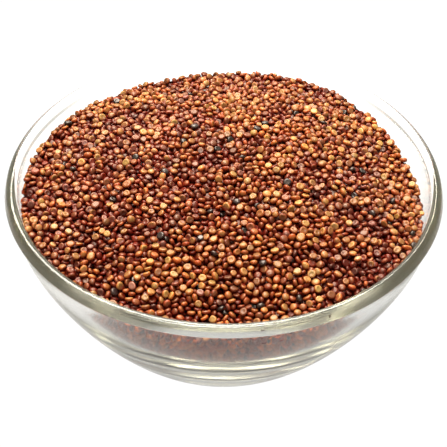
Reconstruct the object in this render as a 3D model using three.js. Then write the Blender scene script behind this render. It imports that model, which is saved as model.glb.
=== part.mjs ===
// A round pressed-glass bowl heaped with quinoa seed.
//
// Frame: millimetres, +Z up. The origin is on the bowl's axis, on the surface that the foot stands on.
// The bowl is one turned solid with a thick base, a low foot ring and a banded rim. The heap is one
// solid that fills the bowl out to a small gap, meets the wall along an uneven edge and rises in a dome.

import * as THREE from "three";

// ---- Driving dimensions -------------------------------------------------------------------------

const TURN_STEPS = 64; // faces round the axis, the same for both pieces so that their facets line up

const FOOT_INNER_RADIUS = 26;
const FOOT_OUTER_RADIUS = 29.5;
const FOOT_RECESS_DEPTH = 0.8;
const FOOT_RECESS_SLOPE = 1.5;
const HEEL_TOP = new THREE.Vector2(33.6, 2.6);
const HEEL_CORNER = new THREE.Vector2(31.2, 0.2);

const WALL_TOP = new THREE.Vector2(58.7, 48.8);
const WALL_UPPER_PULL = new THREE.Vector2(58.9, 38.5);
const WALL_LOWER_PULL = new THREE.Vector2(46.3, 15.6);

const BAND_RADIUS = 60; // the widest circle, at the lower edge of the rim's band
const BAND_HEIGHT = 50;
const BAND_UNDERCUT = 0.4; // height over which the band's lower edge rounds back
const RIM_ROUNDING = 1.5;
const RIM_CENTRE = new THREE.Vector2(58, 51.2); // centre of the rounded crest

const CAVITY_UPPER_PULL = new THREE.Vector2(56.4, 34.5);
const CAVITY_LOWER_PULL = new THREE.Vector2(40.6, 16.3);
const CAVITY_FLOOR_EDGE = new THREE.Vector2(30, 7);
const CAVITY_FLOOR_HEIGHT = 6.5; // on the axis

const HEAP_GAP = 0.3; // between the heap and the glass
const HEAP_TOP = 57;
const HEAP_EDGE_HEIGHT = 46.6; // mean height at which the heap meets the wall
const HEAP_DOME_POWER = 2.2; // 2 is a parabola, more is flatter on top and steeper at the edge
const LUMP_FADE_POWER = 6; // the higher, the closer to the edge the lumps run

// The edge's height swings round the bowl. turn is the direction of one crest, from +X towards +Y.
const EDGE_SWINGS = [
  { crests: 1, height: 0.9, turn: 148 },
  { crests: 2, height: 0.8, turn: 86 },
  { crests: 3, height: 1.05, turn: -53 },
  { crests: 4, height: 0.75, turn: -37 },
];

// Low lumps on the dome are waves that cross it, with alongX and alongY in radians per millimetre.
const LUMP_WAVES = [
  { height: 0.18, alongX: 0.31, alongY: 0.27, phase: 0.5 },
  { height: 0.18, alongX: 0.31, alongY: -0.27, phase: 1.3 },
  { height: 0.21, alongX: 0.52, alongY: -0.52, phase: 0 },
];

const EDGE_SEARCH_END = 0.5; // the edge lies in the upper half of the cavity's curve
const EDGE_SEARCH_STEPS = 30;

const WALL_STEPS = 12;
const HEEL_STEPS = 3;
const CREST_STEPS = 6;
const HEAP_SIDE_STEPS = 9;
const HEAP_TOP_STEPS = 14;

// ---- The bowl's two curves ----------------------------------------------------------------------

const outerWall = new THREE.CubicBezierCurve(WALL_TOP, WALL_UPPER_PULL, WALL_LOWER_PULL, HEEL_TOP);
const heel = new THREE.QuadraticBezierCurve(
  HEEL_TOP,
  HEEL_CORNER,
  new THREE.Vector2(FOOT_OUTER_RADIUS, 0),
);
const cavityWall = new THREE.CubicBezierCurve(
  new THREE.Vector2(RIM_CENTRE.x - RIM_ROUNDING, RIM_CENTRE.y),
  CAVITY_UPPER_PULL,
  CAVITY_LOWER_PULL,
  CAVITY_FLOOR_EDGE,
);

// The rounded crest, from its inner side over the top to where the band's face leaves it.
function crestPoints() {
  const toBand = new THREE.Vector2(BAND_RADIUS, BAND_HEIGHT).sub(RIM_CENTRE);
  const leave = toBand.angle() - 2 * Math.PI + Math.acos(RIM_ROUNDING / toBand.length());
  const points = [];
  for (let step = 0; step <= CREST_STEPS; step += 1) {
    const angle = THREE.MathUtils.lerp(Math.PI, leave, step / CREST_STEPS);
    const x = RIM_CENTRE.x + RIM_ROUNDING * Math.cos(angle);
    const y = RIM_CENTRE.y + RIM_ROUNDING * Math.sin(angle);
    points.push(new THREE.Vector2(x, y));
  }
  return points;
}

// The whole section, from the axis under the foot, out and up the outside, and back down the cavity.
function bowlSection() {
  const underside = [
    new THREE.Vector2(0, FOOT_RECESS_DEPTH),
    new THREE.Vector2(FOOT_INNER_RADIUS - FOOT_RECESS_SLOPE, FOOT_RECESS_DEPTH),
    new THREE.Vector2(FOOT_INNER_RADIUS, 0),
  ];
  const outside = [
    ...heel.getPoints(HEEL_STEPS).reverse(),
    ...outerWall.getPoints(WALL_STEPS).reverse().slice(1),
    new THREE.Vector2(BAND_RADIUS - BAND_UNDERCUT / 2, BAND_HEIGHT - BAND_UNDERCUT),
    new THREE.Vector2(BAND_RADIUS, BAND_HEIGHT),
  ];
  const inside = [
    ...crestPoints().reverse(),
    ...cavityWall.getPoints(WALL_STEPS).slice(1),
    new THREE.Vector2(0, CAVITY_FLOOR_HEIGHT),
  ];
  return [...underside, ...outside, ...inside];
}

function makeBowl() {
  const geometry = new THREE.LatheGeometry(bowlSection(), TURN_STEPS);
  geometry.rotateX(Math.PI / 2);
  const glass = new THREE.MeshStandardMaterial({
    color: 0xdfe6dc,
    roughness: 0.05,
    metalness: 0,
    transparent: true,
    opacity: 0.35,
  });
  const bowl = new THREE.Mesh(geometry, glass);
  bowl.name = "bowl";
  return bowl;
}

// ---- The heap -----------------------------------------------------------------------------------

// A point of the cavity's curve, moved off the glass by the gap.
function besideGlass(along) {
  const point = cavityWall.getPoint(along);
  const tangent = cavityWall.getTangent(along);
  return new THREE.Vector2(point.x + HEAP_GAP * tangent.y, point.y - HEAP_GAP * tangent.x);
}

function edgeHeight(direction) {
  let height = HEAP_EDGE_HEIGHT;
  for (const swing of EDGE_SWINGS) {
    const crest = THREE.MathUtils.degToRad(swing.turn);
    height += swing.height * Math.cos(swing.crests * (direction - crest));
  }
  return height;
}

// How far along the cavity's curve the heap's edge lies, found by halving.
function edgeAlong(height) {
  let above = 0;
  let below = EDGE_SEARCH_END;
  for (let step = 0; step < EDGE_SEARCH_STEPS; step += 1) {
    const middle = (above + below) / 2;
    if (besideGlass(middle).y > height) {
      above = middle;
    } else {
      below = middle;
    }
  }
  return (above + below) / 2;
}

// The lumps' height over a point, which fades out at the dome's edge and on its axis.
function lump(x, y, share) {
  let height = 0;
  for (const wave of LUMP_WAVES) {
    height += wave.height * Math.sin(wave.alongX * x + wave.alongY * y + wave.phase);
  }
  return height * share * (1 - share ** LUMP_FADE_POWER);
}

// One slice of the heap's skin: from the floor on the axis, up beside the glass, over the dome.
function heapSlice(direction) {
  const edge = edgeAlong(edgeHeight(direction));
  const side = [new THREE.Vector2(0, CAVITY_FLOOR_HEIGHT + HEAP_GAP)];
  for (let step = 0; step <= HEAP_SIDE_STEPS; step += 1) {
    side.push(besideGlass(THREE.MathUtils.lerp(1, edge, step / HEAP_SIDE_STEPS)));
  }
  const rim = side[side.length - 1];
  const dome = [];
  for (let step = 1; step <= HEAP_TOP_STEPS; step += 1) {
    const share = 1 - step / HEAP_TOP_STEPS;
    const radius = rim.x * share;
    const height = THREE.MathUtils.lerp(HEAP_TOP, rim.y, share ** HEAP_DOME_POWER);
    const bump = lump(radius * Math.cos(direction), radius * Math.sin(direction), share);
    dome.push(new THREE.Vector2(radius, height + bump));
  }
  return [...side, ...dome];
}

function makeHeap() {
  // A turned skin with one row of points for each slice, which then takes that slice's own shape.
  const geometry = new THREE.LatheGeometry(heapSlice(0), TURN_STEPS);
  const place = geometry.attributes.position;
  const rows = place.count / (TURN_STEPS + 1);
  for (let turn = 0; turn <= TURN_STEPS; turn += 1) {
    const direction = ((turn % TURN_STEPS) / TURN_STEPS) * 2 * Math.PI;
    heapSlice(direction).forEach((point, row) => {
      const x = point.x * Math.cos(direction);
      const y = point.x * Math.sin(direction);
      place.setXYZ(turn * rows + row, x, y, point.y);
    });
  }
  geometry.computeVertexNormals();
  const seed = new THREE.MeshStandardMaterial({ color: 0x9a5a35, roughness: 0.55, metalness: 0 });
  const heap = new THREE.Mesh(geometry, seed);
  heap.name = "quinoa_heap";
  return heap;
}

// ---- The part -----------------------------------------------------------------------------------

const part = new THREE.Group();
part.add(makeBowl());
part.add(makeHeap());

export default part;
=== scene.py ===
"""A clear glass bowl heaped with dry red quinoa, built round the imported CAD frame.

Shapes are worked out in millimetres up to the point where a mesh is made. Lights and materials are in
Blender's metres. The bowl stands on the origin with +Z up, and the camera looks along +Y.
"""

import math

import bpy
import numpy as np
from mathutils import Matrix, Vector, kdtree


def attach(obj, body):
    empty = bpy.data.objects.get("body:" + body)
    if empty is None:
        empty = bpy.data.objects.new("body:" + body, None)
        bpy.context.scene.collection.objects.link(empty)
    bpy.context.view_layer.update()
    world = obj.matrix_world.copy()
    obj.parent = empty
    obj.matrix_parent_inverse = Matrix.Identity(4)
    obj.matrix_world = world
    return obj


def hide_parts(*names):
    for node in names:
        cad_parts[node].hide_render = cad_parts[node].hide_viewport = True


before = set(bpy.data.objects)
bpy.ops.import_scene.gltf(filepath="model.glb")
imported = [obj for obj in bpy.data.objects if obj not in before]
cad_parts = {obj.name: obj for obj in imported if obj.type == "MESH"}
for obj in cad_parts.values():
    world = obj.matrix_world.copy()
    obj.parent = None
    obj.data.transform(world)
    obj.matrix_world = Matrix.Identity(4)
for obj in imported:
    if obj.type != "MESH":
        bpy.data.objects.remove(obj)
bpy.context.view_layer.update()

MM = 0.001
FULL_TURN = 2 * math.pi
TINY = 1e-9  # keeps a division by a length safe

# ---- The bowl's section, as (radius, height) ----------------------------------------------------

FOOT_INNER_RADIUS = 26.0
FOOT_OUTER_RADIUS = 29.5
FOOT_RECESS_DEPTH = 0.8
FOOT_RECESS_SLOPE = 1.5
FOOT_CROWN = 0.4  # how much deeper the recess is on the axis
FOOT_CROWN_RADIUS = 12.0
FOOT_CROWN_THERE = 0.3  # how much deeper it still is at that radius
FOOT_ROUNDING = 0.5
HEEL_TOP = (33.6, 2.6)
HEEL_CORNER = (31.2, 0.2)

WALL_TOP = (58.7, 48.8)
WALL_TOP_ROUNDING = 0.3
WALL_UPPER_PULL = (58.9, 38.5)
WALL_LOWER_PULL = (46.3, 15.6)

BAND_EDGE = (60.0, 50.0)
BAND_ROUNDING = 0.45
RIM_ROUNDING = 1.5
RIM_CENTRE = (58.0, 51.2)

CAVITY_TOP = (RIM_CENTRE[0] - RIM_ROUNDING, RIM_CENTRE[1])
CAVITY_UPPER_PULL = (56.4, 34.5)
CAVITY_LOWER_PULL = (40.6, 16.3)
CAVITY_FLOOR_EDGE = (30.0, 7.0)
CAVITY_FLOOR_HEIGHT = 6.5
CAVITY_FLOOR_BEND = (15.0, CAVITY_FLOOR_HEIGHT + 0.12)

TURN_STEPS = 256
CURVE_STEPS = 44
HEEL_STEPS = 10
CAVITY_STEPS = 160  # the heap is worked out from all of these, and the bowl shows every third
CAVITY_SHOWN_EVERY = 3

# ---- The heap -----------------------------------------------------------------------------------

HEAP_TOP = 57.0
HEAP_EDGE_HEIGHT = 46.6
HEAP_DOME_POWER = 2.2
DOME_END = 1.2  # the share of the way out to the glass past which the dome falls no further
EDGE_SWINGS = ((1, 0.9, 148), (2, 0.8, 86), (3, 1.05, -53), (4, 0.75, -37))  # crests, height, turn
EDGE_LIFT = 1.3  # round seeds at the glass reach this much higher, so that the edge that shows is right
EDGE_LIFT_START = 0.84  # as a share of the way out to the glass

SEED_RADIUS = 1.09
SEED_HALF_THICKNESS = 0.56
SEED_LARGEST_RADIUS = 1.3  # just over the largest that a seed is settled with
SEED_TURN_STEPS = 14
SIZE_RANGE = (0.075, 0.80, 1.18)  # the spread of the seeds' sizes, and the least and the most
FLATNESS_RANGE = (0.10, 0.75, 1.3)

# Settling. Overlapping seeds move apart and tip by shares of the overlap, round after round.
PUSH = 0.35
TIP = 0.10
NEIGHBOUR_REACH = 2.6  # in seed radii
NEIGHBOUR_ROUNDS = 8  # how many rounds each search for neighbours serves

# The seeds of the top layers, which are settled as single seeds.
TOP_RANDOM = 11  # what their random draws start from
TOP_SEEDS = 6350
TOP_ROUNDS = 120
TOP_RADIUS = 55.6
TOP_DEPTH = 3.2  # how far down from the dome they lie
TOP_COVER = 0.5  # how far below the dome the highest start
TOP_TILT = 0.42  # how far their faces stray from level, in radians
TOP_UNEVEN = 1.25  # how far below the dome some of them stay, so that the surface isn't level
TOP_UNEVEN_POWER = 1.7
TOP_SINKING = 0.012  # in each round
TOP_SLACK = 0.6  # how much deeper than TOP_DEPTH they may be pushed
GLASS_GAP = 0.06
SEEN_LEAST = 0.13  # the share of a seed that shows from above, from which it is a loose seed
SEEN_CELL = 0.2  # the size of a cell of the map that this is judged by

# The seeds at the glass, which are relief on the core.
WALL_RANDOM = 5
WALL_SEEDS = 4600
WALL_ROUNDS = 60
WALL_END = 0.97  # how far up they start, as a share of the cavity's outline
WALL_TILT = 0.5  # how far their faces stray from the glass, in radians
WALL_START_DEPTH = 0.8
WALL_REACH = 0.006  # how far the outermost seeds press into the glass, so that they touch it
RELIEF_DEPTH = 1.15  # how deep the gaps between the seeds at the glass are
RELIEF_SEARCH_DEPTH = 0.5  # where the seeds near a point are looked for
RELIEF_SHADE = 0.30  # how bright a seed at the glass is painted at its deepest, as painted shade in the gaps

# The core's rings of points.
CORE_WALL_STEP = 0.58
CORE_TOP_STEP = 0.57
CORE_TOP_RADIUS = 54.8
CORE_TOP_INSET = 1.2  # from the glass
CORE_EDGE_DROP = 1.6  # how far below the loose seeds' edge the core's edge lies
CORE_SLACK = 0.3  # how far below TOP_DEPTH the core's bare top lies
CORE_WALL_LENGTH = 0.95  # the typical length of the core's side, as a share of the cavity's outline
CORE_WIDTH_LENGTH = 0.93  # the same, where it sets how many points each ring has
RING_FEWEST = 12
OUTLINE_STEPS = 400  # how finely the cavity's outline is searched

# ---- The view -----------------------------------------------------------------------------------

PICTURE_WIDTH = 447
VIEW_DISTANCE = 330.0  # from the middle of the band's circle
VIEW_HEIGHT_ANGLE = 39.20
VIEW_PITCH = 41.286
VIEW_ROLL = 0.83
FOCAL_PIXELS = 1195.7
SENSOR_WIDTH = 36.0

# The room's tones from the camera's end (0) to the far end (1), as shares of the brightest.
ROOM_BRIGHTEST = 1.3
ROOM_TONES = (
    (0.10, (0.31, 0.300, 0.255)),
    (0.30, (0.35, 0.340, 0.290)),
    (0.45, (0.32, 0.305, 0.262)),
    (0.80, (0.36, 0.342, 0.295)),
    (0.95, (1.00, 0.940, 0.860)),
)

BLEACHED = 1.05  # how bright the floor and the room are where they are seen directly

# The floor's own light, as where along an axis it starts and stops changing and from what to what.
FLOOR_GLOW_BACKWARD = (-0.02, 0.12, 0.57, 1.15)
FLOOR_GLOW_SIDEWAYS = (0.09, 0.16, 1.0, 0.25)
FLOOR_HALF_SIZE = 4000.0  # in millimetres
FLOOR_DROP = 0.00002  # in metres, which keeps the floor off the foot's own face
LIGHT_TARGET = (0, 0, 0.05)  # in metres


# ---- Curves and surfaces ------------------------------------------------------------------------


def bezier(corners, steps=CURVE_STEPS):
    """Points along a Bezier curve of any degree."""
    along = np.linspace(0.0, 1.0, steps + 1)[:, None]
    degree = len(corners) - 1
    total = np.zeros((steps + 1, 2))
    for order, corner in enumerate(corners):
        weight = math.comb(degree, order) * (1 - along) ** (degree - order) * along**order
        total += weight * np.array(corner)
    return total


def rounded_corner(before, corner, after, radius, steps=5):
    """The arc that rounds off a corner between two straight stretches."""
    corner = np.array(corner, float)
    back = np.array(before, float) - corner
    on = np.array(after, float) - corner
    back /= np.linalg.norm(back)
    on /= np.linalg.norm(on)
    half = math.acos(np.clip(back @ on, -1, 1)) / 2
    reach = radius / math.tan(half)
    centre = corner + (back + on) / np.linalg.norm(back + on) * radius / math.sin(half)
    first, last = corner + back * reach - centre, corner + on * reach - centre
    start = math.atan2(first[1], first[0])
    sweep = math.remainder(math.atan2(last[1], last[0]) - start, FULL_TURN)
    angles = start + sweep * np.linspace(0, 1, steps + 1)
    return centre + radius * np.column_stack([np.cos(angles), np.sin(angles)])


def rim_crest(steps=12):
    """The rim's rounded crest, from where the band's face meets it over to the cavity."""
    centre = np.array(RIM_CENTRE)
    to_band = np.array(BAND_EDGE) - centre
    distance = np.linalg.norm(to_band)
    start = math.atan2(to_band[1], to_band[0]) + math.acos(RIM_ROUNDING / distance)
    angles = np.linspace(start, math.pi, steps + 1)
    return centre + RIM_ROUNDING * np.column_stack([np.cos(angles), np.sin(angles)])


CAVITY_CORNERS = [CAVITY_TOP, CAVITY_UPPER_PULL, CAVITY_LOWER_PULL, CAVITY_FLOOR_EDGE]
CAVITY_FLOOR = [(0.0, CAVITY_FLOOR_HEIGHT), CAVITY_FLOOR_BEND]
CAVITY_WALL = bezier(CAVITY_CORNERS, CAVITY_STEPS)
OUTER_WALL = bezier([HEEL_TOP, WALL_LOWER_PULL, WALL_UPPER_PULL, WALL_TOP])


def bowl_section():
    """The whole outline, from the axis underneath, out, up the outside and down the cavity."""
    recess = (FOOT_INNER_RADIUS - FOOT_RECESS_SLOPE, FOOT_RECESS_DEPTH)
    ring = (FOOT_INNER_RADIUS, 0.0)
    foot_end = (FOOT_OUTER_RADIUS, 0.0)
    crown = [
        (0.0, FOOT_RECESS_DEPTH + FOOT_CROWN),
        (FOOT_CROWN_RADIUS, FOOT_RECESS_DEPTH + FOOT_CROWN_THERE),
    ]
    crest = rim_crest()
    return np.vstack(
        [
            crown,
            rounded_corner(crown[-1], recess, ring, FOOT_ROUNDING),
            rounded_corner(recess, ring, foot_end, FOOT_ROUNDING),
            bezier([foot_end, HEEL_CORNER, HEEL_TOP], HEEL_STEPS),
            OUTER_WALL[1:-1],
            rounded_corner(OUTER_WALL[-3], WALL_TOP, BAND_EDGE, WALL_TOP_ROUNDING),
            rounded_corner(WALL_TOP, BAND_EDGE, crest[0], BAND_ROUNDING),
            crest,
            CAVITY_WALL[1::CAVITY_SHOWN_EVERY],
            CAVITY_FLOOR[::-1],
        ]
    )


def turned(section, steps=TURN_STEPS):
    """Vertices and faces of a section turned round the axis. It starts and ends on the axis."""
    angles = np.arange(steps) * FULL_TURN / steps
    ring = np.column_stack([np.cos(angles), np.sin(angles)])
    inner = section[1:-1]
    vertices = [np.array([[0.0, 0.0, section[0][1]]])]
    for radius, height in inner:
        vertices.append(np.column_stack([radius * ring, np.full(steps, height)]))
    vertices.append(np.array([[0.0, 0.0, section[-1][1]]]))
    last = 1 + len(inner) * steps
    faces = []
    for step in range(steps):
        following = (step + 1) % steps
        faces.append((0, 1 + following, 1 + step))
        for row in range(len(inner) - 1):
            low, high = 1 + row * steps, 1 + (row + 1) * steps
            faces.append((low + step, low + following, high + following, high + step))
        top = 1 + (len(inner) - 1) * steps
        faces.append((top + step, top + following, last))
    return np.vstack(vertices), faces


def make_mesh(name, vertices, faces, material, smooth=True):
    """A new object from vertices in millimetres."""
    mesh = bpy.data.meshes.new(name)
    mesh.from_pydata((np.asarray(vertices) * MM).tolist(), [], faces)
    mesh.validate()
    mesh.polygons.foreach_set("use_smooth", [smooth] * len(mesh.polygons))
    mesh.materials.append(material)
    mesh.update()
    piece = bpy.data.objects.new(name, mesh)
    bpy.context.scene.collection.objects.link(piece)
    return piece


# ---- The heap's surface -------------------------------------------------------------------------


def cavity_radius(height):
    """How wide the cavity is at a height."""
    return np.interp(-height, -CAVITY_WALL[:, 1], CAVITY_WALL[:, 0])


def edge_height(direction):
    """How high the quinoa meets the glass, in each direction."""
    height = np.full_like(direction, HEAP_EDGE_HEIGHT)
    for crests, swing, turn in EDGE_SWINGS:
        height += swing * np.cos(crests * (direction - math.radians(turn)))
    return height


def smooth_step(share):
    """Rises from 0 to 1 with a soft start and end."""
    share = np.clip(share, 0, 1)
    return share * share * (3 - 2 * share)


def dome_height(x, y):
    """The height that the seeds reach over a point."""
    edge = edge_height(np.arctan2(y, x))
    share = np.hypot(x, y) / cavity_radius(edge)
    dome = HEAP_TOP + (edge - HEAP_TOP) * np.minimum(share, DOME_END) ** HEAP_DOME_POWER
    return dome + EDGE_LIFT * smooth_step((share - EDGE_LIFT_START) / (1 - EDGE_LIFT_START))


# ---- Settling seeds -----------------------------------------------------------------------------


def unit(vectors):
    """The directions of some vectors."""
    return vectors / np.maximum(np.linalg.norm(vectors, axis=1, keepdims=True), TINY)


def tree_of(points):
    """A tree that finds the points near a place."""
    tree = kdtree.KDTree(len(points))
    for index, point in enumerate(points):
        tree.insert(point, index)
    tree.balance()
    return tree


def varied(count, limits, random):
    """Factors that vary about 1 by a typical spread, between a least and a most."""
    spread, least, most = limits
    return np.clip(random.normal(1.0, spread, count), least, most)


class Seeds:
    """Many flattened seeds: centres, the directions of their flat faces, radii, half thicknesses."""

    def __init__(self, centres, facing, random):
        count = len(centres)
        self.centres = centres
        self.facing = unit(facing)
        size = varied(count, SIZE_RANGE, random)
        self.radius = SEED_RADIUS * size
        self.half_thickness = SEED_HALF_THICKNESS * size * varied(count, FLATNESS_RANGE, random)

    def reach(self, which, direction):
        """How far each seed's surface extends from its centre in a direction."""
        across = np.sum(self.facing[which] * direction, axis=1) ** 2
        flat = self.radius[which] ** 2 * (1 - across)
        return np.sqrt(flat + self.half_thickness[which] ** 2 * across)

    def neighbours(self, distance):
        """Every pair of seeds whose centres are within a distance."""
        tree = tree_of(self.centres)
        pairs = []
        for index, centre in enumerate(self.centres):
            for _, other, _ in tree.find_range(centre, distance):
                if other > index:
                    pairs.append((index, other))
        return np.array(pairs, int).reshape(-1, 2)

    def settle(self, hold, rounds):
        """Pushes overlapping seeds apart and tips them past each other, and holds them in place."""
        for step in range(rounds):
            if step % NEIGHBOUR_ROUNDS == 0:
                first, second = self.neighbours(NEIGHBOUR_REACH * SEED_RADIUS).T
            apart = self.centres[second] - self.centres[first]
            distance = np.maximum(np.linalg.norm(apart, axis=1), TINY)
            apart /= distance[:, None]
            overlap = self.reach(first, apart) + self.reach(second, apart) - distance
            overlap = np.maximum(overlap, 0)[:, None]
            push = np.zeros_like(self.centres)
            tip = np.zeros_like(self.centres)
            np.add.at(push, first, -PUSH * overlap * apart)
            np.add.at(push, second, PUSH * overlap * apart)
            for side in (first, second):
                along = np.sum(self.facing[side] * apart, axis=1, keepdims=True)
                np.add.at(tip, side, TIP * overlap * np.sign(along) * apart)
            self.centres += push
            self.facing = unit(self.facing + tip)
            hold(self)


def scattered_facing(toward, spread, random):
    """Directions spread about others by a typical angle in radians."""
    return unit(unit(toward) + spread * random.normal(size=toward.shape))


def top_seeds(random):
    """The top layers of the heap, as single seeds."""
    radius = TOP_RADIUS * np.sqrt(random.random(TOP_SEEDS))
    direction = random.random(TOP_SEEDS) * FULL_TURN
    x, y = radius * np.cos(direction), radius * np.sin(direction)
    down = random.random(TOP_SEEDS) * TOP_DEPTH
    centres = np.column_stack([x, y, dome_height(x, y) - TOP_COVER - down])
    up = np.tile([0.0, 0.0, 1.0], (TOP_SEEDS, 1))
    seeds = Seeds(centres, scattered_facing(up, TOP_TILT, random), random)
    own_top = -TOP_UNEVEN * random.random(TOP_SEEDS) ** TOP_UNEVEN_POWER
    every = np.arange(TOP_SEEDS)
    sideways = np.zeros_like(centres)

    def hold(these):
        """Keeps the seeds below the dome, in its top layers and inside the glass."""
        place = these.centres
        place[:, 2] -= TOP_SINKING
        surface = dome_height(place[:, 0], place[:, 1])
        tall = these.reach(every, up)
        place[:, 2] = np.minimum(place[:, 2], surface + own_top - tall)
        place[:, 2] = np.maximum(place[:, 2], surface - TOP_DEPTH - TOP_SLACK)
        distance = np.hypot(place[:, 0], place[:, 1])
        sideways[:, :2] = place[:, :2] / np.maximum(distance, TINY)[:, None]
        wide = these.reach(every, sideways)
        glass = cavity_radius(place[:, 2]) - GLASS_GAP
        inside = np.minimum(distance, glass - wide)
        place[:, :2] *= (inside / np.maximum(distance, TINY))[:, None]

    seeds.settle(hold, TOP_ROUNDS)
    return seeds


class HeightMap:
    """What shows of some seeds from straight above: each cell's height and the seed that is highest."""

    def __init__(self, seeds, which):
        self.half = int(BAND_EDGE[0] / SEEN_CELL)
        size = 2 * self.half + 1
        self.height = np.full(size * size, -np.inf)
        self.seed = np.full(size * size, -1)
        self.size = size
        tops = list(self.tops(seeds, which))
        for cells, heights in tops:
            np.maximum.at(self.height, cells, heights)
        self.seen = np.zeros(len(seeds.centres))
        self.whole = np.zeros(len(seeds.centres))
        for cells, heights in tops:
            real = np.isfinite(heights)
            highest = real & (heights >= self.height[cells])
            self.seed[cells[highest]] = which[highest]
            np.add.at(self.seen, which[highest], 1)
            np.add.at(self.whole, which[real], 1)

    def cell(self, x, y):
        """The index of the cell that holds each point."""
        column = np.rint(x / SEEN_CELL).astype(int) + self.half
        row = np.rint(y / SEEN_CELL).astype(int) + self.half
        return row * self.size + column

    def tops(self, seeds, which):
        """For each cell near the seeds' middles, the height of each seed's upper side there."""
        centre, facing = seeds.centres[which], seeds.facing[which]
        flat = 1 / seeds.radius[which] ** 2
        extra = 1 / seeds.half_thickness[which] ** 2 - flat
        span = int(SEED_LARGEST_RADIUS / SEEN_CELL)
        for across in range(-span, span + 1):
            for back in range(-span, span + 1):
                cells = self.cell(centre[:, 0] + across * SEEN_CELL, centre[:, 1] + back * SEEN_CELL)
                x = (cells % self.size - self.half) * SEEN_CELL - centre[:, 0]
                y = (cells // self.size - self.half) * SEEN_CELL - centre[:, 1]
                sideways = x * facing[:, 0] + y * facing[:, 1]
                a = flat + extra * facing[:, 2] ** 2
                b = extra * sideways * facing[:, 2]
                c = (x * x + y * y) * flat + extra * sideways**2 - 1
                root = b * b - a * c
                height = centre[:, 2] + (np.sqrt(np.maximum(root, 0)) - b) / a
                yield cells, np.where(root > 0, height, -np.inf)


# ---- One seed's shape ---------------------------------------------------------------------------

# Sections of a seed as (share of the radius, share of the half thickness), from the middle of its
# upper side out: a dished middle, the ring of the germ, the rounded edge and the plainer lower side.
SEED_SECTIONS = (
    ((0.0, 0.84), (0.48, 0.78), (0.76, 0.88), (0.985, 0.32), (0.90, -0.55)),
    ((0.0, 1.08), (0.50, 0.97), (0.80, 0.66), (0.99, 0.16), (0.84, -0.62)),
    ((0.0, 0.64), (0.42, 0.66), (0.72, 0.98), (0.98, 0.40), (0.92, -0.50)),
    ((0.0, 0.96), (0.54, 0.95), (0.82, 0.70), (0.985, 0.22), (0.86, -0.60)),
)
SEED_UNDERSIDE = -0.9  # the middle of the lower side
SEED_NARROWEST = 0.88  # the least width of a seed across, as a share of its width along

# How a seed's outline and thickness stray: waves round it with their strength, and a slant.
OUTLINE_WAVES = ((1, 0.035), (2, 0.060), (3, 0.035), (4, 0.020))
OUTLINE_LEAST = 0.8
OUTLINE_MOST = 1.15
SLANT_SPREAD = 0.14


def seed_shape(section):
    """Vertices, faces, and each vertex's share of the radius and angle for one seed of unit size."""
    rings = section[1:]
    angles = np.arange(SEED_TURN_STEPS) * FULL_TURN / SEED_TURN_STEPS
    vertices, shares, turns = [(0.0, 0.0, section[0][1])], [0.0], [0.0]
    for radius, height in rings:
        for angle in angles:
            vertices.append((radius * math.cos(angle), radius * math.sin(angle), height))
            shares.append(radius)
            turns.append(angle)
    vertices.append((0.0, 0.0, SEED_UNDERSIDE))
    shares.append(0.0)
    turns.append(0.0)
    last = len(vertices) - 1
    faces = []
    for step in range(SEED_TURN_STEPS):
        following = (step + 1) % SEED_TURN_STEPS
        faces.append((0, 1 + step, 1 + following))
        for row in range(len(rings) - 1):
            upper, lower = 1 + row * SEED_TURN_STEPS, 1 + (row + 1) * SEED_TURN_STEPS
            faces.append((upper + step, lower + step, lower + following))
            faces.append((upper + step, lower + following, upper + following))
        bottom = 1 + (len(rings) - 1) * SEED_TURN_STEPS
        faces.append((bottom + step, last, bottom + following))
    return np.array(vertices), np.array(faces), np.array(shares), np.array(turns)


def misshapen(shape, turns, count, random):
    """One copy of a seed's shape for each seed, each with an outline and a bulge of its own."""
    copies = np.repeat(shape[None], count, axis=0)
    stretch = np.ones((count, len(shape)))
    for waves, strength in OUTLINE_WAVES:
        size = random.normal(0, strength, (count, 1))
        phase = random.uniform(0, FULL_TURN, (count, 1))
        stretch += size * np.cos(waves * turns[None] + phase)
    copies[:, :, :2] *= np.clip(stretch, OUTLINE_LEAST, OUTLINE_MOST)[:, :, None]
    slant = random.normal(0, SLANT_SPREAD, (count, 1))
    phase = random.uniform(0, FULL_TURN, (count, 1))
    outward = np.hypot(shape[:, 0], shape[:, 1])[None]
    copies[:, :, 2] *= 1 + slant * outward * np.cos(turns[None] + phase)
    return copies


# ---- Seed coats ---------------------------------------------------------------------------------

# The rings on a seed: the share of its radius, the width and how much darker or lighter they are.
GROOVE = (0.48, 0.12, 0.22)
GERM_RING = (0.76, 0.14, 0.14)
EDGE_START = 0.74
EDGE_WIDTH = 0.12
EDGE_SHADE = (0.07, 0.60, 0.78)  # painted shade: how much of the red, green and blue a seed's colour loses towards its edge

GAP_SHADE = (0.67, 0.96, 0.99)  # painted shade: how much of the red, green and blue the seeds' colour loses in the gaps
GAP_SHADE_START = 0.45  # the depth below the dome at which the painted shade begins
GAP_SHADE_SPAN = 1.4  # the depth over which it grows
GAP_SHADOW_TONE = (0.030, 0.006, 0.004)  # painted shadow: near-black where no seed is near enough to show, for the dark of a deep gap
PAINTED_WALL_SHADE = (1.1, 0.6, 0.5)  # painted shade: makes the seeds at the glass redder and darker than the same kinds elsewhere

# Each kind of seed: how common it is beside the others, its colour and how far seeds stray from it.
KINDS = {
    "chestnut": (0.10, (0.225, 0.054, 0.013), 0.20),
    "russet": (0.24, (0.330, 0.106, 0.023), 0.16),
    "copper": (0.36, (0.425, 0.178, 0.040), 0.15),
    "amber": (0.25, (0.510, 0.262, 0.069), 0.14),
    "mauve": (0.040, (0.300, 0.106, 0.070), 0.18),
    "black": (0.015, (0.020, 0.012, 0.014), 0.30),
    "pale": (0.010, (0.640, 0.380, 0.150), 0.12),
}
HUE_STRAY = 0.045  # how far each of a seed's red, green and blue strays by itself
TONE_LEAST = 0.004
TONE_MOST = 0.9

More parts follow.
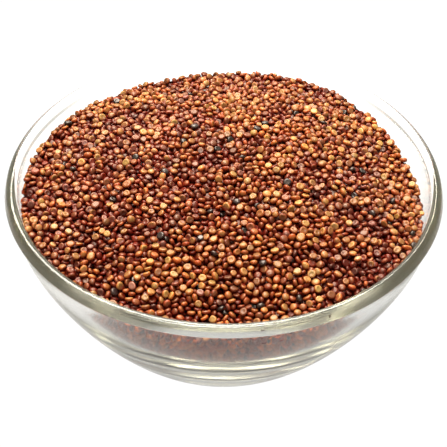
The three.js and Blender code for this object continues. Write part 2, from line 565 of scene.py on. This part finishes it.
LOOSE_ROUGHNESS = 0.42
LOOSE_GLOSS = 0.62
LOOSE_COAT = 0.16
BLACK_COAT = 0.5
CORE_ROUGHNESS = 0.6
CORE_GLOSS = 0.1


def own_tone(colour, stray, count, random):
    """A colour for each seed, lighter or darker and warmer or cooler than its kind's."""
    tone = np.tile(np.array(colour), (count, 1))
    tone *= np.exp(random.normal(0, stray, (count, 1)))
    tone *= np.exp(random.normal(0, HUE_STRAY, (count, 3)))
    return np.clip(tone, TONE_LEAST, TONE_MOST)


def colour_attribute(mesh, colours):
    """Writes one colour for each vertex."""
    attribute = mesh.color_attributes.new("seed_tone_and_shade", "FLOAT_COLOR", "POINT")
    full = np.column_stack([colours, np.ones(len(colours))])
    attribute.data.foreach_set("color", full.astype(np.float32).ravel())


def seed_material(name, roughness, gloss, coat):
    """A satin seed coat in each seed's own colour with painted shade on it, finely mottled and pitted.
    """
    material = bpy.data.materials.new(name)
    material.use_nodes = True
    nodes, links = material.node_tree.nodes, material.node_tree.links
    surface = nodes["Principled BSDF"]
    surface.inputs["Roughness"].default_value = roughness
    surface.inputs["Specular IOR Level"].default_value = gloss
    surface.inputs["Specular Tint"].default_value = (1.0, 0.78, 0.58, 1)
    surface.inputs["Coat Weight"].default_value = coat
    surface.inputs["Coat Roughness"].default_value = 0.18
    # each seed's own colour, with the painted shade of its edge and of the gaps
    tone = nodes.new("ShaderNodeAttribute")
    tone.attribute_name = "seed_tone_and_shade"
    place = nodes.new("ShaderNodeTexCoord")
    mottle = nodes.new("ShaderNodeTexNoise")
    mottle.inputs["Scale"].default_value = 1600.0
    mottle.inputs["Detail"].default_value = 3.0
    spread = nodes.new("ShaderNodeMapRange")
    spread.inputs["From Min"].default_value = 0.3
    spread.inputs["From Max"].default_value = 0.7
    spread.inputs["To Min"].default_value = 0.78
    spread.inputs["To Max"].default_value = 1.2
    shade = nodes.new("ShaderNodeMix")
    shade.data_type = "RGBA"
    shade.blend_type = "MULTIPLY"
    shade.inputs["Factor"].default_value = 1.0
    bump = nodes.new("ShaderNodeBump")
    bump.inputs["Strength"].default_value = 0.25
    bump.inputs["Distance"].default_value = 0.00006
    links.new(place.outputs["Object"], mottle.inputs["Vector"])
    links.new(mottle.outputs["Fac"], spread.inputs["Value"])
    # A Mix node has an A, a B and a result for each type of data, and these are the colours'.
    links.new(tone.outputs["Color"], shade.inputs[6])
    links.new(spread.outputs["Result"], shade.inputs[7])
    links.new(shade.outputs[2], surface.inputs["Base Color"])
    links.new(mottle.outputs["Fac"], bump.inputs["Height"])
    links.new(bump.outputs["Normal"], surface.inputs["Normal"])
    return material


def glass_material():
    """Clear glass with faint ripples, which takes a little more of the blue where it is thick."""
    material = bpy.data.materials.new("clear_pressed_glass")
    material.use_nodes = True
    nodes, links = material.node_tree.nodes, material.node_tree.links
    surface = nodes["Principled BSDF"]
    surface.inputs["Transmission Weight"].default_value = 1.0
    surface.inputs["Roughness"].default_value = 0.05
    surface.inputs["IOR"].default_value = 1.5
    place = nodes.new("ShaderNodeTexCoord")
    ripple = nodes.new("ShaderNodeTexNoise")
    ripple.inputs["Scale"].default_value = 45.0
    ripple.inputs["Detail"].default_value = 1.5
    tint = nodes.new("ShaderNodeValToRGB")
    tint.color_ramp.elements[0].color = (0.980, 0.985, 0.975, 1)
    tint.color_ramp.elements[1].color = (0.995, 1.0, 0.990, 1)
    bump = nodes.new("ShaderNodeBump")
    bump.inputs["Strength"].default_value = 0.02
    bump.inputs["Distance"].default_value = 0.0004
    absorb = nodes.new("ShaderNodeVolumeAbsorption")
    absorb.inputs["Color"].default_value = (0.28, 0.28, 0.10, 1)
    absorb.inputs["Density"].default_value = 9.0
    links.new(place.outputs["Object"], ripple.inputs["Vector"])
    links.new(ripple.outputs["Fac"], tint.inputs["Fac"])
    links.new(tint.outputs["Color"], surface.inputs["Base Color"])
    links.new(ripple.outputs["Fac"], bump.inputs["Height"])
    links.new(bump.outputs["Normal"], surface.inputs["Normal"])
    links.new(absorb.outputs["Volume"], nodes["Material Output"].inputs["Volume"])
    return material


# ---- The seeds' meshes --------------------------------------------------------------------------


def seed_axes(seeds, which, random):
    """For each seed, three directions: two across its face, turned at random, and its facing."""
    facing = seeds.facing[which]
    spare = unit(np.cross(facing, random.normal(size=facing.shape)))
    return np.stack([spare, np.cross(facing, spare), facing], axis=1)


def soft_ring(shares, place, width, strength):
    """A ring on a seed that is strongest at a share of its radius and fades to both sides."""
    return strength * np.exp(-(((shares - place) / width) ** 2))


def ring_shade(shares):
    """Light and dark over a seed: a pale germ ring, a dark groove inside it and painted shade that turns
    its edge deep red.
    """
    rings = 1 - soft_ring(shares, *GROOVE) + soft_ring(shares, *GERM_RING)
    # painted shade towards the seed's edge
    edge = smooth_step((shares - EDGE_START) / EDGE_WIDTH)[:, None]
    return rings[:, None] * (1 - edge * np.array(EDGE_SHADE))


def gap_shade(vertices):
    """How much darker and redder the seeds' colours are painted with depth: painted shade in the gaps.
    """
    depth = dome_height(vertices[:, 0], vertices[:, 1]) - vertices[:, 2]
    deep = smooth_step((depth - GAP_SHADE_START) / GAP_SHADE_SPAN)
    return 1 - deep[:, None] * np.array(GAP_SHADE)


def make_seeds(name, seeds, which, tones, material, random):
    """Joins the chosen seeds into one mesh."""
    axes = seed_axes(seeds, which, random)
    sizes = np.column_stack([seeds.radius[which], seeds.radius[which], seeds.half_thickness[which]])
    sizes[:, 1] *= random.uniform(SEED_NARROWEST, 1.0, len(which))
    forms = random.integers(0, len(SEED_SECTIONS), len(which))
    vertices, faces, colours, start = [], [], [], 0
    for form, section in enumerate(SEED_SECTIONS):
        shape, shape_faces, shares, turns = seed_shape(section)
        chosen = np.where(forms == form)[0]
        local = misshapen(shape, turns, len(chosen), random) * sizes[chosen][:, None]
        placed = np.einsum("nvi,nij->nvj", local, axes[chosen]) + seeds.centres[which][chosen][:, None]
        offsets = start + np.arange(len(chosen)) * len(shape)
        vertices.append(placed.reshape(-1, 3))
        faces.append((shape_faces[None] + offsets[:, None, None]).reshape(-1, 3))
        shade = ring_shade(shares)[None]
        colours.append((tones[chosen][:, None] * shade).reshape(-1, 3))
        start += len(chosen) * len(shape)
    vertices = np.vstack(vertices)
    # painted shade, darker and redder deeper in the heap
    colours = np.vstack(colours) * gap_shade(vertices)
    piece = make_mesh(name, vertices, np.vstack(faces).tolist(), material)
    colour_attribute(piece.data, colours)
    return piece


def kinds_of(count, random):
    """Which kind each seed is, as an index into KINDS."""
    shares = np.array([share for share, _, _ in KINDS.values()])
    return random.choice(len(KINDS), count, p=shares / shares.sum())


def all_tones(kind, random):
    """A colour for each seed after its kind."""
    tones = np.zeros((len(kind), 3))
    for index, (_, colour, stray) in enumerate(KINDS.values()):
        which = kind == index
        tones[which] = own_tone(colour, stray, which.sum(), random)
    return tones


def make_heap():
    """The loose seeds, one piece for each kind, and the core with the seeds below them as relief."""
    random = np.random.default_rng(TOP_RANDOM)
    seeds = top_seeds(random)
    kind = kinds_of(TOP_SEEDS, random)
    tones = all_tones(kind, random)
    every = HeightMap(seeds, np.arange(TOP_SEEDS))
    loose = every.seen > SEEN_LEAST * every.whole
    below = HeightMap(seeds, np.where(~loose)[0])
    pieces = [make_core(below, tones)]
    for index, name in enumerate(KINDS):
        which = np.where(loose & (kind == index))[0]
        coat = BLACK_COAT if name == "black" else LOOSE_COAT
        material = seed_material("seed_coat_" + name, LOOSE_ROUGHNESS, LOOSE_GLOSS, coat)
        pieces.append(make_seeds("seeds_" + name, seeds, which, tones[which], material, random))
    return pieces


# ---- The core under and behind the loose seeds --------------------------------------------------


def wall_path():
    """The cavity's outline from the floor's middle up, with the distance along it."""
    path = np.vstack([CAVITY_FLOOR, CAVITY_WALL[::-1]])
    along = np.concatenate([[0.0], np.cumsum(np.hypot(*np.diff(path, axis=0).T))])
    return path, along


PATH, PATH_ALONG = wall_path()
PATH_TANGENT = np.gradient(PATH, PATH_ALONG, axis=0)


def on_wall(along, direction):
    """Points of the cavity's surface and the directions that point into the glass there."""
    radius = np.interp(along, PATH_ALONG, PATH[:, 0])
    height = np.interp(along, PATH_ALONG, PATH[:, 1])
    out_r = np.interp(along, PATH_ALONG, PATH_TANGENT[:, 1])
    out_z = -np.interp(along, PATH_ALONG, PATH_TANGENT[:, 0])
    size = np.hypot(out_r, out_z)
    ring = np.column_stack([np.cos(direction), np.sin(direction)])
    points = np.column_stack([radius[:, None] * ring, height])
    outward = np.column_stack([(out_r / size)[:, None] * ring, out_z / size])
    return points, outward


def nearest_along(centres):
    """For each centre, how far along the cavity's outline the nearest point of the glass is."""
    radius = np.hypot(centres[:, 0], centres[:, 1])
    fine = np.linspace(0, PATH_ALONG[-1], OUTLINE_STEPS)
    r = np.interp(fine, PATH_ALONG, PATH[:, 0])
    z = np.interp(fine, PATH_ALONG, PATH[:, 1])
    far = (radius[:, None] - r) ** 2 + (centres[:, 2][:, None] - z) ** 2
    return fine[np.argmin(far, axis=1)]


def edge_along(direction):
    """How far along the outline the core's edge lies, which is below the loose seeds'."""
    height = edge_height(direction) + EDGE_LIFT - CORE_EDGE_DROP
    return np.interp(height, PATH[2:, 1], PATH_ALONG[2:])


def wall_seeds(random):
    """Seeds that lie against the glass, spread evenly over the cavity."""
    fine = np.linspace(0, PATH_ALONG[-1] * WALL_END, OUTLINE_STEPS)
    weight = np.cumsum(np.interp(fine, PATH_ALONG, PATH[:, 0]))
    along = np.interp(random.random(WALL_SEEDS) * weight[-1], weight, fine)
    direction = random.random(WALL_SEEDS) * FULL_TURN
    points, outward = on_wall(along, direction)
    facing = scattered_facing(outward, WALL_TILT, random)
    seeds = Seeds(points - WALL_START_DEPTH * outward, facing, random)
    every = np.arange(WALL_SEEDS)

    def hold(these):
        """Keeps each seed just pressed into the glass."""
        near = nearest_along(these.centres)
        turn = np.arctan2(these.centres[:, 1], these.centres[:, 0])
        glass, out = on_wall(near, turn)
        these.centres[:] = glass - out * (these.reach(every, out) - WALL_REACH)[:, None]

    seeds.settle(hold, WALL_ROUNDS)
    return seeds


def ray_depth(points, directions, seeds, near):
    """How deep below each point a ray first meets one of its near seeds, and which seed that is."""
    axis = seeds.facing[near]
    offset = points[:, None] - seeds.centres[near]
    ray = np.broadcast_to(directions[:, None], offset.shape)

    def stretched(vectors):
        """The vectors in a space where each seed is a ball of radius 1."""
        along = np.sum(vectors * axis, axis=2, keepdims=True)
        flat = (vectors - along * axis) / seeds.radius[near][..., None]
        return flat + along * axis / seeds.half_thickness[near][..., None]

    origin, heading = stretched(offset), stretched(ray)
    a = np.sum(heading**2, axis=2)
    b = np.sum(origin * heading, axis=2)
    c = np.sum(origin**2, axis=2) - 1
    inside = b**2 - a * c
    depth = np.where(inside > 0, (-b - np.sqrt(np.maximum(inside, 0))) / a, np.inf)
    first = np.argmin(depth, axis=1)
    rows = np.arange(len(points))
    return depth[rows, first], near[rows, first]


def nearest_seeds(points, seeds, how_many=7):
    """The seeds whose centres are nearest to each point."""
    tree = tree_of(seeds.centres)
    found = [[index for _, index, _ in tree.find_n(point, how_many)] for point in points.tolist()]
    return np.array(found)


def relief(points, inward, seeds, tones):
    """Moves points inwards onto the seeds' faces, and gives each the colour of its seed, painted darker
    with depth as shade in the gaps.
    """
    near = nearest_seeds(points + RELIEF_SEARCH_DEPTH * inward, seeds)
    depth, which = ray_depth(points, inward, seeds, near)
    low = depth > RELIEF_DEPTH
    # painted shade: the deeper a point lies, the darker its seed's colour
    shade = np.clip(1 - depth / RELIEF_DEPTH, 0.0, 1.0)[:, None]
    colours = tones[which] * (RELIEF_SHADE + (1 - RELIEF_SHADE) * np.sqrt(shade))
    # painted shadow where no seed is near enough to show
    colours[low] = GAP_SHADOW_TONE
    depth = np.clip(depth, -WALL_REACH, RELIEF_DEPTH)
    return points + inward * depth[:, None], colours


def ring_counts(radii, step):
    """How many points each ring gets so that they lie about a step apart."""
    return [max(RING_FEWEST, int(round(FULL_TURN * radius / step))) for radius in radii]


def ring_directions(row, count):
    """The directions of a ring's points, shifted by half a step in every second ring."""
    return (np.arange(count) + 0.5 * (row % 2)) * FULL_TURN / count


def stitched(first_start, first_count, second_start, second_count):
    """Triangles between two rings with different numbers of points."""
    faces = []
    first, second = 0, 0
    while first < first_count or second < second_count:
        ahead = (first + 1) * second_count <= (second + 1) * first_count
        a = first_start + first % first_count
        b = second_start + second % second_count
        if (ahead and first < first_count) or second >= second_count:
            faces.append((a, first_start + (first + 1) % first_count, b))
            first += 1
        else:
            faces.append((a, second_start + (second + 1) % second_count, b))
            second += 1
    return faces


def core_wall(random):
    """The core's outer side: points on the glass moved in onto the seeds, ring by ring."""
    against = wall_seeds(random)
    tones = all_tones(kinds_of(WALL_SEEDS, random), random)
    rings = int(PATH_ALONG[-1] * CORE_WALL_LENGTH / CORE_WALL_STEP)
    shares = np.arange(1, rings + 1) / rings
    typical = np.interp(shares * PATH_ALONG[-1] * CORE_WIDTH_LENGTH, PATH_ALONG, PATH[:, 0])
    counts = ring_counts(typical, CORE_WALL_STEP)
    points = [np.array([[0.0, 0.0, CAVITY_FLOOR_HEIGHT]])]
    inward = [np.array([[0.0, 0.0, 1.0]])]
    for row, (share, count) in enumerate(zip(shares, counts)):
        direction = ring_directions(row, count)
        ring, outward = on_wall(share * edge_along(direction), direction)
        points.append(ring)
        inward.append(-outward)
    # the seeds at the glass get the painted shade on top of their own colours
    points, colours = relief(np.vstack(points), np.vstack(inward), against, np.array(PAINTED_WALL_SHADE) * tones)
    return points, colours, counts


def core_top(below, tones):
    """The core's top: the seeds under the loose ones, from the glass in to the axis."""
    rings = int(CORE_TOP_RADIUS / CORE_TOP_STEP)
    shares = 1 - np.arange(0, rings) / rings
    counts = ring_counts(CORE_TOP_RADIUS * shares, CORE_TOP_STEP)
    points = []
    for row, (share, count) in enumerate(zip(shares, counts)):
        direction = ring_directions(row, count)
        radius = share * (cavity_radius(edge_height(direction)) - CORE_TOP_INSET)
        points.append(np.column_stack([radius * np.cos(direction), radius * np.sin(direction)]))
    points = np.vstack(points + [np.zeros((1, 2))])
    cells = below.cell(points[:, 0], points[:, 1])
    lowest = dome_height(points[:, 0], points[:, 1]) - TOP_DEPTH - CORE_SLACK
    height = np.maximum(below.height[cells], lowest)
    colours = tones[below.seed[cells]]
    # painted shadow where no seed shows on the core's top
    colours[below.height[cells] < lowest] = GAP_SHADOW_TONE
    points = np.column_stack([points, height])
    # painted shade in the gaps, darker deeper down
    return points, colours * gap_shade(points), counts


def make_core(below, tones):
    """The quinoa below the loose seeds, one closed solid."""
    wall, wall_tone, wall_counts = core_wall(np.random.default_rng(WALL_RANDOM))
    top, top_tone, top_counts = core_top(below, tones)
    counts = wall_counts + top_counts
    starts = 1 + np.concatenate([[0], np.cumsum(counts)])
    faces = [(0, 1 + (step + 1) % counts[0], 1 + step) for step in range(counts[0])]
    for row in range(len(counts) - 1):
        faces += stitched(int(starts[row]), counts[row], int(starts[row + 1]), counts[row + 1])
    last, final_start = int(starts[-1]), int(starts[-2])
    for step in range(counts[-1]):
        faces.append((final_start + step, final_start + (step + 1) % counts[-1], last))
    material = seed_material("seed_coat_core", CORE_ROUGHNESS, CORE_GLOSS, 0.0)
    core = make_mesh("quinoa_core", np.vstack([wall, top]), faces, material)
    colour_attribute(core.data, np.vstack([wall_tone, top_tone]))
    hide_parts("quinoa_heap")
    return core


# ---- Floor, light and camera --------------------------------------------------------------------


def graded(nodes, links, value, amounts):
    """Maps one range of a value onto another."""
    grade = nodes.new("ShaderNodeMapRange")
    for socket, amount in zip(("From Min", "From Max", "To Min", "To Max"), amounts):
        grade.inputs[socket].default_value = amount
    links.new(value, grade.inputs["Value"])
    return grade.outputs["Result"]


def bleach_for_camera(nodes, links, plain, white, output):
    """Shows a white shader to the camera and a plain one to all other light."""
    path = nodes.new("ShaderNodeLightPath")
    either = nodes.new("ShaderNodeMixShader")
    links.new(path.outputs["Is Camera Ray"], either.inputs["Fac"])
    links.new(plain.outputs[0], either.inputs[1])
    links.new(white.outputs[0], either.inputs[2])
    links.new(either.outputs["Shader"], output.inputs["Surface"])


def make_floor():
    """A floor with a graded light of its own, bleached to white where the camera sees it directly."""
    material = bpy.data.materials.new("pale_floor")
    material.use_nodes = True
    nodes, links = material.node_tree.nodes, material.node_tree.links
    surface = nodes["Principled BSDF"]
    surface.inputs["Base Color"].default_value = (0.20, 0.199, 0.196, 1)
    surface.inputs["Roughness"].default_value = 0.9
    surface.inputs["Specular IOR Level"].default_value = 0.1
    surface.inputs["Emission Color"].default_value = (1, 1, 0.985, 1)
    place = nodes.new("ShaderNodeTexCoord")
    split = nodes.new("ShaderNodeSeparateXYZ")
    aside = nodes.new("ShaderNodeMath")
    aside.operation = "ABSOLUTE"
    glow = nodes.new("ShaderNodeMath")
    glow.operation = "MULTIPLY"
    links.new(place.outputs["Object"], split.inputs["Vector"])
    links.new(split.outputs["X"], aside.inputs[0])
    links.new(graded(nodes, links, split.outputs["Y"], FLOOR_GLOW_BACKWARD), glow.inputs[0])
    links.new(graded(nodes, links, aside.outputs["Value"], FLOOR_GLOW_SIDEWAYS), glow.inputs[1])
    links.new(glow.outputs["Value"], surface.inputs["Emission Strength"])
    white = nodes.new("ShaderNodeEmission")
    white.inputs["Strength"].default_value = BLEACHED
    bleach_for_camera(nodes, links, surface, white, nodes["Material Output"])
    far = FLOOR_HALF_SIZE
    corners = [(-far, -far, 0), (far, -far, 0), (far, far, 0), (-far, far, 0)]
    floor = make_mesh("floor", corners, [(0, 1, 2, 3)], material, smooth=False)
    floor.location.z = -FLOOR_DROP


def soft_light(name, place, size, watts, colour):
    """A wide light that points at the heap."""
    light = bpy.data.lights.new(name, "AREA")
    light.color = colour
    light.shape = "RECTANGLE"
    light.size, light.size_y = size
    light.energy = watts
    lamp = bpy.data.objects.new(name, light)
    lamp.location = place
    lamp.rotation_mode = "QUATERNION"
    lamp.rotation_quaternion = (Vector(LIGHT_TARGET) - Vector(place)).to_track_quat("-Z", "Y")
    bpy.context.scene.collection.objects.link(lamp)


def make_light():
    """Soft lights overhead and behind, in a dim room that is bright at its far end and seen as white."""
    world = bpy.data.worlds.new("studio")
    bpy.context.scene.world = world
    world.use_nodes = True
    nodes, links = world.node_tree.nodes, world.node_tree.links
    place = nodes.new("ShaderNodeTexCoord")
    split = nodes.new("ShaderNodeSeparateXYZ")
    spread = nodes.new("ShaderNodeMapRange")
    spread.inputs["From Min"].default_value = -1.0
    ramp = nodes.new("ShaderNodeValToRGB")
    stops = ramp.color_ramp.elements
    stops[0].position = ROOM_TONES[0][0]
    stops[1].position = ROOM_TONES[-1][0]
    for position, _ in ROOM_TONES[1:-1]:
        stops.new(position)
    for stop, (position, tone) in zip(stops, ROOM_TONES):
        stop.position = position
        stop.color = (*tone, 1)
    links.new(place.outputs["Generated"], split.inputs["Vector"])
    links.new(split.outputs["Y"], spread.inputs["Value"])
    links.new(spread.outputs["Result"], ramp.inputs["Fac"])
    links.new(ramp.outputs["Color"], nodes["Background"].inputs["Color"])
    nodes["Background"].inputs["Strength"].default_value = ROOM_BRIGHTEST
    white = nodes.new("ShaderNodeBackground")
    white.inputs["Color"].default_value = (1, 1, 1, 1)
    white.inputs["Strength"].default_value = BLEACHED
    bleach_for_camera(nodes, links, nodes["Background"], white, nodes["World Output"])
    soft_light(
        "overhead_softbox", place=(-0.03, -0.02, 0.72), size=(0.25, 0.35), watts=4.0, colour=(1, 1, 1)
    )
    soft_light(
        "rear_softbox", place=(-0.08, 0.31, 0.46), size=(0.40, 0.25), watts=5.2, colour=(1, 0.94, 0.84)
    )


def make_camera():
    """The photograph's view, from in front and above."""
    data = bpy.data.cameras.new("camera")
    data.sensor_width = SENSOR_WIDTH
    data.lens = SENSOR_WIDTH * FOCAL_PIXELS / PICTURE_WIDTH
    data.clip_start = 0.01
    data.clip_end = 20.0
    camera = bpy.data.objects.new("camera", data)
    rise = math.radians(VIEW_HEIGHT_ANGLE)
    camera.location = Vector(
        (0.0, -VIEW_DISTANCE * math.cos(rise), BAND_EDGE[1] + VIEW_DISTANCE * math.sin(rise))
    ) * MM
    pitch = Matrix.Rotation(math.radians(90 - VIEW_PITCH), 4, "X")
    roll = Matrix.Rotation(math.radians(VIEW_ROLL), 4, "Z")
    camera.rotation_mode = "QUATERNION"
    camera.rotation_quaternion = (pitch @ roll).to_quaternion()
    bpy.context.scene.collection.objects.link(camera)
    bpy.context.scene.camera = camera


# ---- Everything together ------------------------------------------------------------------------


def main():
    """Sets the view, the stage and the light, and makes the bowl and its heap."""
    scene = bpy.context.scene
    scene.view_settings.view_transform = "Standard"
    # Light runs far along inside the bowl's wall before it comes out.
    scene.cycles.max_bounces = 40
    scene.cycles.glossy_bounces = 32
    scene.cycles.transmission_bounces = 32
    make_camera()
    make_floor()
    make_light()

    vertices, faces = turned(bowl_section())
    bowl = make_mesh("glass_bowl", vertices, faces, glass_material())
    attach(bowl, "root")
    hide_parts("bowl")
    for piece in make_heap():
        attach(piece, "root")


main()
